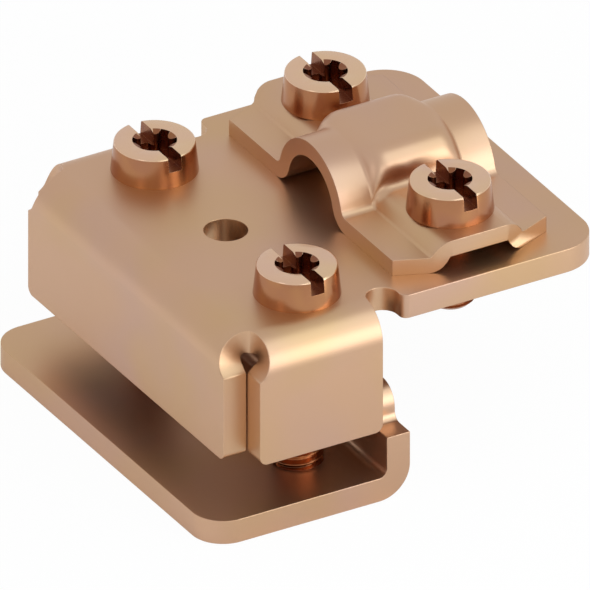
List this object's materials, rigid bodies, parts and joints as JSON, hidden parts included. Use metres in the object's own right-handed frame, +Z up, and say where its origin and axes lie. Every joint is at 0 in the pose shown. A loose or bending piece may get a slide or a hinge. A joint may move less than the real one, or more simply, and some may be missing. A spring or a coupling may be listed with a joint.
{
  "type": "roof seam conductor clamp",
  "caption": "Folded sheet clamp that grips a standing roof seam and holds a round lightning conductor under a pressed, screwed bridge.",
  "frame": {"origin": "centre of the bounding box on the jaw's underside", "axes": "+X from the folded front rim to the conductor bridge, Y across the part, +Z up out of the top plate"},
  "size_m": [0.0524, 0.05, 0.0326],
  "materials": {
    "sheet": "satin copper",
    "screw": "polished copper plate"
  },
  "bodies": {
    "cap": {"top_plate": "sheet"},
    "jaw": {"jaw_plate": "sheet"},
    "bridge": {"conductor_bridge": "sheet"},
    "left_clamp_screw": {"clamp_screw_left": "screw"},
    "right_clamp_screw": {"clamp_screw_right": "screw"},
    "left_bridge_screw": {"bridge_screw_left": "screw"},
    "right_bridge_screw": {"bridge_screw_right": "screw"}
  },
  "joints": [
    {"name": "right_clamp_turn", "type": "hinge", "parent": "cap", "child": "right_clamp_screw", "pos_m": [-0.00975, -0.016, 0.0244], "axis": [0, 0, -1], "range_deg": [0, 1980.01]},
    {"name": "left_clamp_turn", "type": "hinge", "parent": "cap", "child": "left_clamp_screw", "pos_m": [-0.00975, 0.016, 0.0244], "axis": [0, 0, -1], "range_deg": [0, 1980.01]},
    {"name": "jaw_lift", "type": "slide", "parent": "cap", "child": "jaw", "axis": [0, 0, 1], "range_m": [0, 0.0055]},
    {"name": "bridge_lift", "type": "slide", "parent": "cap", "child": "bridge", "axis": [0, 0, 1], "range_m": [0, 0.004]},
    {"name": "right_bridge_turn", "type": "hinge", "parent": "bridge", "child": "right_bridge_screw", "pos_m": [0.01125, -0.014, 0.0283], "axis": [0, 0, 1], "range_deg": [0, 1440.01]},
    {"name": "left_bridge_turn", "type": "hinge", "parent": "bridge", "child": "left_bridge_screw", "pos_m": [0.01125, 0.014, 0.0283], "axis": [0, 0, 1], "range_deg": [0, 1440.01]}
  ],
  "couplings": [
    {"joint": "right_clamp_turn", "follows": "jaw_lift", "rad_per_m": 6283.2},
    {"joint": "left_clamp_turn", "follows": "jaw_lift", "rad_per_m": 6283.2},
    {"joint": "right_bridge_turn", "follows": "bridge_lift", "rad_per_m": 6283.2},
    {"joint": "left_bridge_turn", "follows": "bridge_lift", "rad_per_m": 6283.2}
  ]
}
